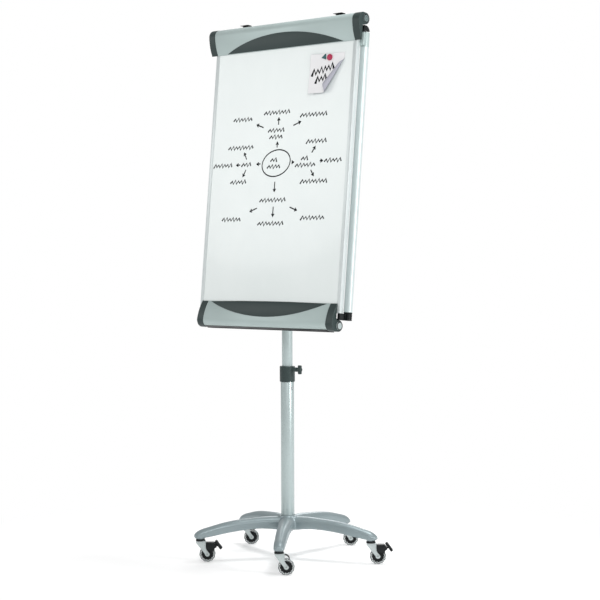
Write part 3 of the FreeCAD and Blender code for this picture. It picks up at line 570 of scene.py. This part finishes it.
# way from the ring; how far its group is; how far on the group's own group straight ahead is; how
# far on and aside its other two are; and how long each of the group's lines of writing is
SPOKES = (((0, 1), 0.112, 0.080, (0.062, 0.178), (0.098, 0.080)),
          ((0, -1), 0.139, 0.088, (0.070, 0.200), (0.139,)),
          ((-1, 0), 0.141, 0.126, (0.036, 0.066), (0.068,)),
          ((1, 0), 0.152, 0.136, (0.050, 0.074), (0.054, 0.110)))
LINE_PEN, WORD_PEN, INK_THICKNESS = 0.0048, 0.0066, 0.0003
LETTER, WORD, LINE_SPACE, ARROW, BARB = 0.016, 0.11, 0.025, 0.038, 0.013
BARB_ANGLE = 0.5
WRITING_HEIGHT, WRITING_ROOM = 0.0165, (0.006, 0.004)   # room beside a group, and above it
OUTER_LENGTH, OUTER_SPREAD = 0.125, 0.025               # of the outermost lines of writing
RING_X, RING_ABOVE = -0.005, 0.036            # the ring's place from the face's middle
RING_REACH, RING_SKEW = (0.070, 0.050), 0.12  # its half sizes, and how far it leans
RING_GAP = 0.006
RING_LINES = (0.055, 0.085)


def scribble(at, length, height, slope=0.0):
    """A line of handwriting with no letters in it: a wave of uneven height for each word."""
    words = max(1, round(length / WORD))
    across, down = Vector((1, slope)), Vector((-slope, 1))
    waves = []
    for word in range(words):
        start = length * (word / words - 0.5)
        count = round(length / words / LETTER)
        wave = []
        for k in range(2 * count - 1):
            size = height * (0.38 + 0.12 * math.sin(5.1 * k + 40 * at.x + 7 * word))
            rise = size if k % 2 else -size
            wave.append(at + across * (start + k * LETTER / 2 + 0.25 * rise) + down * rise)
        waves.append(wave)
    return waves


def pen_strokes(name, strokes, width, cyclic=(), rise=None):
    """Flat rounded lines drawn on the writing face, or on something that rises from it."""
    curve = bpy.data.curves.new(name, "CURVE")
    curve.dimensions, curve.bevel_depth, curve.bevel_resolution = "3D", width / 2, 2
    curve.use_fill_caps = True
    for index, points in enumerate(strokes):
        spline = curve.splines.new("POLY")
        spline.points.add(len(points) - 1)
        for point, place in zip(spline.points, points):
            point.co = (place.x, place.y, 0, 1)
        spline.use_cyclic_u = index in cyclic
    mesh = baked(linked(name, curve))
    mesh.transform(Matrix.Diagonal((1, 1, INK_THICKNESS / width, 1)))
    if rise:
        for vert in mesh.vertices:
            vert.co.z += rise(vert.co.x, vert.co.y)
    mesh.transform(BOARD)
    return mesh


def edge_of(lengths, way):
    """How far a group of lines of writing reaches from its middle, with room to spare."""
    beside, above = WRITING_ROOM
    half = max(lengths) / 2 + beside, len(lengths) * LINE_SPACE / 2 + above
    return min(size / max(abs(part), 1e-3) for size, part in zip(half, way))


def arrow(start, end):
    """A short arrow in the middle of the gap from start to end."""
    way = (end - start).normalized()
    length = min(ARROW, 0.8 * (end - start).length)
    tail = (start + end - way * length) / 2
    tip = tail + way * length
    barbs = [tip - Matrix.Rotation(turn, 2) @ way * BARB for turn in (BARB_ANGLE, -BARB_ANGLE)]
    return [[tail, tip], [barbs[0], tip, barbs[1]]]


def writing(at, lengths):
    """Lines of writing, one under another, about a point."""
    waves = []
    for k, length in enumerate(lengths):
        drop = (k - (len(lengths) - 1) / 2) * LINE_SPACE
        waves += scribble(at - Vector((0, drop)), length, WRITING_HEIGHT)
    return waves


def draw_diagram():
    """A ring of writing, a group on each side of it, and three more round each of those."""
    middle = Vector((RING_X, (FACE_LOW + FACE_HIGH) / 2 + RING_ABOVE))
    wide, high = RING_REACH
    turns = [k * math.pi / 32 for k in range(64)]
    strokes = [[middle + Vector((wide * math.cos(turn), high * math.sin(turn + RING_SKEW)))
                for turn in turns]]
    words = writing(middle, RING_LINES)
    for way, reach, ahead, (onward, aside), lines in SPOKES:
        way = Vector(way)
        beside = Vector((way.y, -way.x))
        hub = middle + way * reach
        ring_edge = (wide if way.x else high) + RING_GAP
        strokes += arrow(middle + way * ring_edge, hub - way * edge_of(lines, way))
        words += writing(hub, lines)
        for turn in (-1, 0, 1):
            spot = hub + (way * onward + beside * aside * turn if turn else way * ahead)
            lengths = (OUTER_LENGTH + OUTER_SPREAD * math.sin(9 * spot.x + 31 * spot.y),)
            onto = (spot - hub).normalized()
            strokes += arrow(hub + onto * edge_of(lines, onto), spot - onto * edge_of(lengths, onto))
            words += writing(spot, lengths)
    mesh = pen_strokes("ink", strokes, LINE_PEN, cyclic=(0,))
    add_piece("ink_diagram", mesh, "board", "black_plastic", INK)
    mesh = pen_strokes("words", words, WORD_PEN)
    add_piece("ink_writing", mesh, "board", "black_plastic", INK)


# the note hangs near the face's top right corner; these are its corners, and its size
NOTE_HIGH = Vector((0.298, FACE_HIGH - 0.088))
NOTE_SIZE = Vector((0.155, 0.145))
NOTE_LOW = NOTE_HIGH - NOTE_SIZE
CURL_START, CURL_TOP = Vector((0.060, 0)), Vector((0.155, 0.128))   # where the corner lifts
CURL_TURN = math.radians(250)
CURL_WIDE, CURL_TIGHT, CURL_WIND = 0.016, 0.012, 0.07   # the roll, and how it narrows and winds in
NOTE_CELLS, NOTE_THICK = 90, 0.0004
NOTE_SLOPE, NOTE_PEN = 0.24, 0.0105
# middle of each of the note's lines from its low corner, and the line's length and height
NOTE_LINES = (((0.066, 0.088), 0.110, 0.024), ((0.060, 0.055), 0.062, 0.024))
NOTE_GAP, SIDE_RISE, FOOT_RISE = 0.0006, 0.010, 0.005   # off the board, and more at left and foot


def note_rise(x, y):
    """How far the note stands off the board, most at its lower left corner."""
    return (NOTE_GAP + SIDE_RISE * (1 - x / NOTE_SIZE.x) ** 3
            + FOOT_RISE * (1 - y / NOTE_SIZE.y) ** 2)


def curled(x, y):
    """Where a point of the flat note lies once its lower right corner has rolled up, or none
    where the roll hides it."""
    line = CURL_TOP - CURL_START
    along = line.normalized()
    over = Vector((along.y, -along.x))
    beyond = (Vector((x, y)) - CURL_START).dot(over)
    part = min(max((Vector((x, y)) - CURL_START).dot(along) / line.length, 0), 1)
    lift = note_rise(x, y)
    if beyond <= 0:
        return Vector((x, y, lift))
    radius = CURL_WIDE - CURL_TIGHT * part
    turn = beyond / radius
    if turn > CURL_TURN:
        return None
    radius *= 1 - CURL_WIND * turn
    moved = Vector((x, y)) + over * (radius * math.sin(turn) - beyond)
    return Vector((moved.x, moved.y, lift + radius * (1 - math.cos(turn))))


def note_sheet():
    """The card's mesh, with one corner rolled up, and its back in a darker, bluer copy of its paper:
    painted shade for the curl's underside.
    """
    work = bmesh.new()
    count = NOTE_CELLS
    grid = [[curled(NOTE_SIZE.x * i / count, NOTE_SIZE.y * j / count)
             for i in range(count + 1)] for j in range(count + 1)]
    grid = [[point and work.verts.new(point) for point in row] for row in grid]
    for low, high in zip(grid, grid[1:]):
        for i in range(count):
            corners = (low[i], low[i + 1], high[i + 1], high[i])
            if None not in corners:
                work.faces.new(corners).smooth = True
    for vert in [vert for vert in work.verts if not vert.link_faces]:
        work.verts.remove(vert)
    mesh = mesh_from(work, "note")
    mesh.materials.append(PAPER)
    mesh.materials.append(PAPER_BACK_SHADE)
    thing = linked("note_flat", mesh)
    solid = thing.modifiers.new("thickness", "SOLIDIFY")
    solid.thickness, solid.offset, solid.material_offset = NOTE_THICK, 0, 1
    mesh = baked(thing)
    mesh.transform(BOARD @ Matrix.Translation((NOTE_LOW.x, NOTE_LOW.y, 0)))
    return mesh


def add_note():
    """A sheet of card, and bold wordless strokes across it."""
    add_piece("note_card", note_sheet(), "board", "white_enamel")
    bold = []
    for at, length, height in NOTE_LINES:
        bold += scribble(NOTE_LOW + Vector(at), length, height, NOTE_SLOPE)
    mesh = pen_strokes("bold_ink", bold, NOTE_PEN,
                       rise=lambda x, y: note_rise(x - NOTE_LOW.x, y - NOTE_LOW.y) + NOTE_THICK / 2)
    add_piece("note_ink", mesh, "board", "black_plastic", INK)


MAGNET_LIFT = 0.0018
DISC_SECTION = ((0, 0), (0.0110, 0), (0.0118, 0.0010), (0.0118, 0.0042), (0.0102, 0.0058),
                (0, 0.0064))
DISC_PLACE, TRIANGLE_PLACE = (-0.069, -0.015), (-0.094, -0.011)   # from the note's high corner
TRIANGLE = ((-0.013, -0.004), (0.008, -0.011), (0.006, 0.011))
TRIANGLE_THICK, TRIANGLE_ROUND = 0.005, 0.0012


def add_magnets():
    """A round magnet and a triangular one, side by side at the top of the note."""
    out = (BOARD.to_3x3() @ Vector((0, 0, 1))).normalized()
    at = BOARD @ (NOTE_HIGH + Vector(DISC_PLACE)).to_3d() + out * MAGNET_LIFT
    add_piece("round_magnet", turned(DISC_SECTION, at, out, 40), "board", "dark_plastic", RED)
    work = bmesh.new()
    low = [work.verts.new((x, y, 0)) for x, y in TRIANGLE]
    high = [work.verts.new((x, y, TRIANGLE_THICK)) for x, y in TRIANGLE]
    work.faces.new(low[::-1])
    work.faces.new(high)
    for k in range(3):
        work.faces.new((low[k], low[(k + 1) % 3], high[(k + 1) % 3], high[k]))
    bmesh.ops.bevel(work, geom=list(work.edges), offset=TRIANGLE_ROUND, segments=3,
                    profile=0.5, affect="EDGES")
    mesh = mesh_from(work, "triangle")
    place = (NOTE_HIGH + Vector(TRIANGLE_PLACE)).to_3d() + Vector((0, 0, MAGNET_LIFT))
    mesh.transform(BOARD @ Matrix.Translation(place))
    add_piece("triangle_magnet", mesh, "board", "dark_plastic", TEAL)


# ---- stage -----------------------------------------------------------------------------------

AMBIENT = 0.5                     # how strongly the backdrop lights the easel
FLOOR_GLOW = 0.18                 # the floor's own light, so that shadows stay pale
FLOOR_RADIUS = 14
FADE_FROM, FADE_TO = 0.5, 1.5     # how far from the easel the floor turns into the backdrop

CAMERA_PLACE, CAMERA_LENS = (3.9924, -4.5151, 1.141), 95.87
CAMERA_YAW, CAMERA_PITCH, CAMERA_ROLL = math.radians(41.02), math.radians(-1.57), -0.0034

# name, place, point it faces, diameter and watts
LIGHTS = (("key", (3.0, -3.2, 3.2), (0, 0, 1.0), 1.4, 58),
          ("front", (-2.75, -2.85, 2.4), (0, 0, 1.3), 1.5, 14),
          ("side", (4.2, 0.5, 1.7), (0, 0, 1.2), 1.4, 80),
          ("top", (0.6, 0.8, 4.4), (0, 0, 0.2), 1.2, 70),
          ("back", (-2.5, 3.5, 2.6), (0, 0, 1.0), 2.0, 40))


def add_camera():
    """Eye height a little over half the easel's, from the right of the front."""
    yaw, pitch, roll = CAMERA_YAW, CAMERA_PITCH, CAMERA_ROLL
    forward = Vector((-math.sin(yaw) * math.cos(pitch), math.cos(yaw) * math.cos(pitch),
                      math.sin(pitch)))
    level = Vector((math.cos(yaw), math.sin(yaw), 0))
    upright = level.cross(forward)
    right = level * math.cos(roll) + upright * math.sin(roll)
    up = upright * math.cos(roll) - level * math.sin(roll)
    data = bpy.data.cameras.new("camera")
    data.lens, data.sensor_width = CAMERA_LENS, 36.0
    camera = linked("camera", data)
    turn = Matrix((right, up, -forward)).transposed().to_4x4()
    camera.matrix_world = Matrix.Translation(CAMERA_PLACE) @ turn
    bpy.context.scene.camera = camera


def add_light(name, place, target, size, watts):
    """A round white softbox that faces a point."""
    data = bpy.data.lights.new(name, "AREA")
    data.shape, data.size, data.energy = "DISK", size, watts
    light = linked(name, data)
    light.location = place
    aim = Vector(target) - Vector(place)
    light.rotation_euler = aim.to_track_quat("-Z", "Y").to_euler()


def add_world():
    """A white backdrop that lights the easel more gently than it looks."""
    world = bpy.data.worlds.new("studio")
    world.use_nodes = True
    tree = world.node_tree
    backdrop = tree.nodes["Background"]
    backdrop.inputs["Color"].default_value = (1, 1, 1, 1)
    path = tree.nodes.new("ShaderNodeLightPath")
    strength = tree.nodes.new("ShaderNodeMapRange")
    strength.inputs["To Min"].default_value = AMBIENT
    strength.inputs["To Max"].default_value = 1.0
    tree.links.new(path.outputs["Is Camera Ray"], strength.inputs["Value"])
    tree.links.new(strength.outputs["Result"], backdrop.inputs["Strength"])
    bpy.context.scene.world = world
    bpy.context.scene.view_settings.view_transform = "Standard"


def add_floor():
    """A pale disc that takes soft shadows near the easel and fades into the backdrop."""
    bpy.ops.mesh.primitive_circle_add(vertices=96, radius=FLOOR_RADIUS, fill_type="NGON")
    floor = bpy.context.object
    floor.name = "floor"
    nodes = Nodes("pale_floor")
    nodes.set(Roughness=0.9, Base_Color=(0.9, 0.9, 0.9))
    glow = nodes.add("ShaderNodeEmission", Strength=FLOOR_GLOW)
    lit = nodes.add("ShaderNodeAddShader")
    nodes.link(nodes.shader.outputs["BSDF"], lit.inputs[0])
    nodes.link(glow.outputs["Emission"], lit.inputs[1])
    white = nodes.add("ShaderNodeEmission", Strength=1.0)
    away = nodes.add("ShaderNodeVectorMath", operation="LENGTH")
    nodes.link(nodes.place, away.inputs[0])
    fade = nodes.add("ShaderNodeMapRange", interpolation_type="SMOOTHSTEP")
    fade.inputs["From Min"].default_value = FADE_FROM
    fade.inputs["From Max"].default_value = FADE_TO
    nodes.link(away.outputs["Value"], fade.inputs["Value"])
    mix = nodes.add("ShaderNodeMixShader")
    nodes.link(fade.outputs["Result"], mix.inputs["Fac"])
    nodes.link(lit.outputs["Shader"], mix.inputs[1])
    nodes.link(white.outputs["Emission"], mix.inputs[2])
    nodes.link(mix.outputs["Shader"], nodes.tree.nodes["Material Output"].inputs["Surface"])
    floor.data.materials.append(nodes.material)


def add_stage():
    """A bright, plain studio."""
    add_world()
    add_floor()
    for light in LIGHTS:
        add_light(*light)


add_camera()
add_stage()
finish_cad_parts()
soften_mouldings()
ease_edges()
thin_tabs()
pin_rings()
finish_wheels()
add_fork_shade_strips()
draw_diagram()
add_note()
add_magnets()
